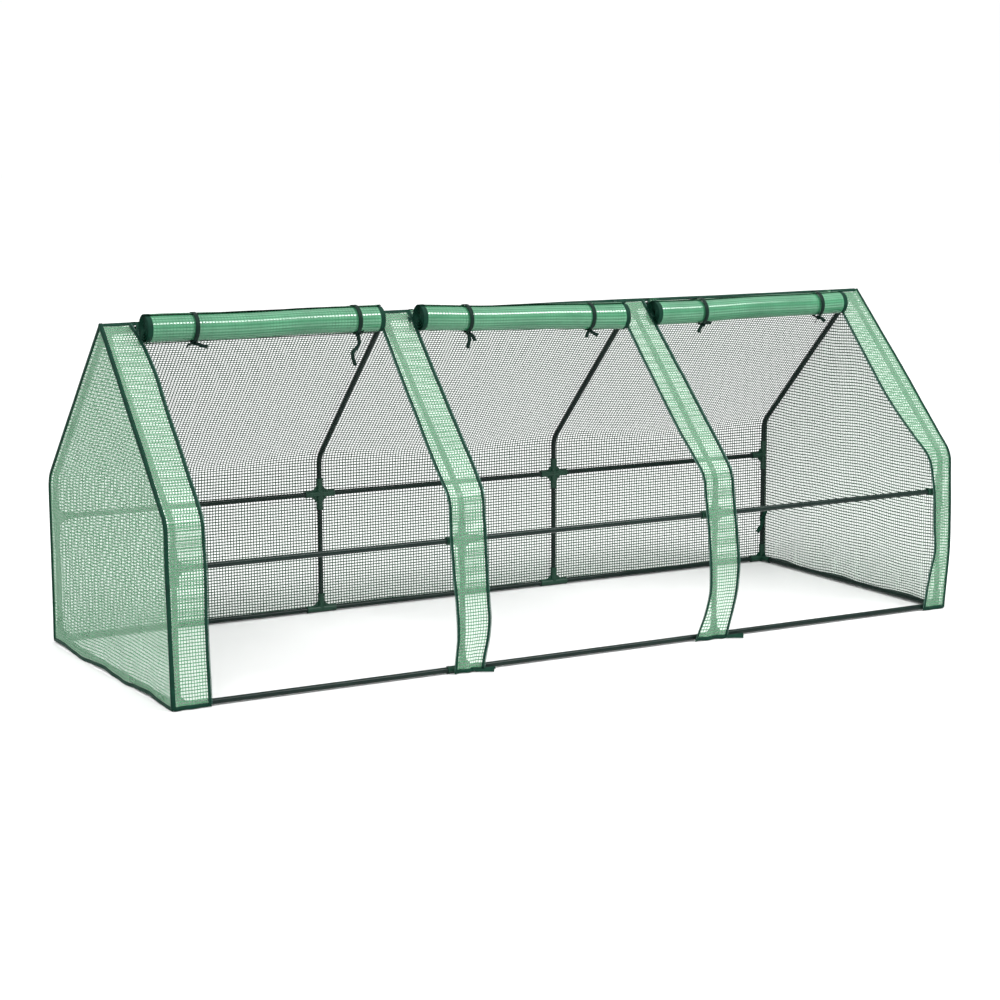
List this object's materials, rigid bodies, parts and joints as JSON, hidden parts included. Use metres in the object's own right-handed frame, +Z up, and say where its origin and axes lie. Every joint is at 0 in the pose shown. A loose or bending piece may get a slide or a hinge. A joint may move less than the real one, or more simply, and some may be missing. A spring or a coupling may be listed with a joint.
{
  "type": "mini greenhouse",
  "caption": "Low tunnel-shaped mini greenhouse with a push-fit tube frame, reinforced see-through cover and roll-up front doors tied open at the ridge.",
  "frame": {"origin": "centre of the object's bounding box at ground level", "axes": "+X along the length to the end with the narrow front strip, -Y towards the doors, +Z up"},
  "size_m": [2.4262, 0.9271, 0.9262],
  "materials": {
    "tube_steel": "semi-gloss powder coat",
    "connector_plastic": "satin",
    "cover_film": "reinforced film",
    "door_cloth": "reinforced film, rolled",
    "binding_tape": "woven tape",
    "tie_ribbon": "woven ribbon",
    "zip_metal": "satin"
  },
  "bodies": {
    "greenhouse": {"front_bottom_rail_1": "tube_steel", "front_bottom_rail_2": "tube_steel", "front_bottom_rail_3": "tube_steel", "rear_bottom_rail_1": "tube_steel", "rear_bottom_rail_2": "tube_steel", "rear_bottom_rail_3": "tube_steel", "front_mid_rail_1": "tube_steel", "front_mid_rail_2": "tube_steel", "front_mid_rail_3": "tube_steel", "rear_mid_rail_1": "tube_steel", "rear_mid_rail_2": "tube_steel", "rear_mid_rail_3": "tube_steel", "ridge_rail_1": "tube_steel", "ridge_rail_2": "tube_steel", "ridge_rail_3": "tube_steel", "floor_bars": "tube_steel", "front_post_1": "tube_steel", "front_post_2": "tube_steel", "front_post_3": "tube_steel", "front_post_4": "tube_steel", "rear_post_1": "tube_steel", "rear_post_2": "tube_steel", "rear_post_3": "tube_steel", "rear_post_4": "tube_steel", "front_rafter_1": "tube_steel", "front_rafter_2": "tube_steel", "front_rafter_3": "tube_steel", "front_rafter_4": "tube_steel", "rear_rafter_1": "tube_steel", "rear_rafter_2": "tube_steel", "rear_rafter_3": "tube_steel", "rear_rafter_4": "tube_steel", "corner_connectors": "connector_plastic", "tee_connectors": "connector_plastic", "cross_connectors": "connector_plastic", "ridge_end_connectors": "connector_plastic", "ridge_cross_connectors": "connector_plastic", "rear_roof_panel": "cover_film", "rear_wall_panel": "cover_film", "left_end_panel": "cover_film", "right_end_panel": "cover_film", "front_strip_1": "cover_film", "front_strip_2": "cover_film", "front_strip_3": "cover_film", "front_strip_4": "cover_film", "seam_binding": "binding_tape", "zip_tapes": "binding_tape", "base_ties": "tie_ribbon", "door_1_ties": "tie_ribbon", "door_2_ties": "tie_ribbon", "door_3_ties": "tie_ribbon"},
    "door_1_upper": {"door_1_wrap": "door_cloth"},
    "door_1_lower": {"door_1_roll": "door_cloth", "door_1_zip_sliders": "zip_metal"},
    "door_2_upper": {"door_2_wrap": "door_cloth"},
    "door_2_lower": {"door_2_roll": "door_cloth", "door_2_zip_sliders": "zip_metal"},
    "door_3_upper": {"door_3_wrap": "door_cloth"},
    "door_3_lower": {"door_3_roll": "door_cloth", "door_3_zip_sliders": "zip_metal"}
  },
  "joints": [
    {"name": "door_1_roof_slide", "type": "slide", "parent": "greenhouse", "child": "door_1_upper", "axis": [0, -0.7047, -0.7095], "range_m": [0, 0.6065], "deforming": ["door_1_ties"]},
    {"name": "door_1_wall_slide", "type": "slide", "parent": "door_1_upper", "child": "door_1_lower", "axis": [0, 0, -1], "range_m": [0, 0.4221]},
    {"name": "door_2_roof_slide", "type": "slide", "parent": "greenhouse", "child": "door_2_upper", "axis": [0, -0.7047, -0.7095], "range_m": [0, 0.6065], "deforming": ["door_2_ties"]},
    {"name": "door_2_wall_slide", "type": "slide", "parent": "door_2_upper", "child": "door_2_lower", "axis": [0, 0, -1], "range_m": [0, 0.4221]},
    {"name": "door_3_roof_slide", "type": "slide", "parent": "greenhouse", "child": "door_3_upper", "axis": [0, -0.7047, -0.7095], "range_m": [0, 0.6065], "deforming": ["door_3_ties"]},
    {"name": "door_3_wall_slide", "type": "slide", "parent": "door_3_upper", "child": "door_3_lower", "axis": [0, 0, -1], "range_m": [0, 0.4221]}
  ]
}
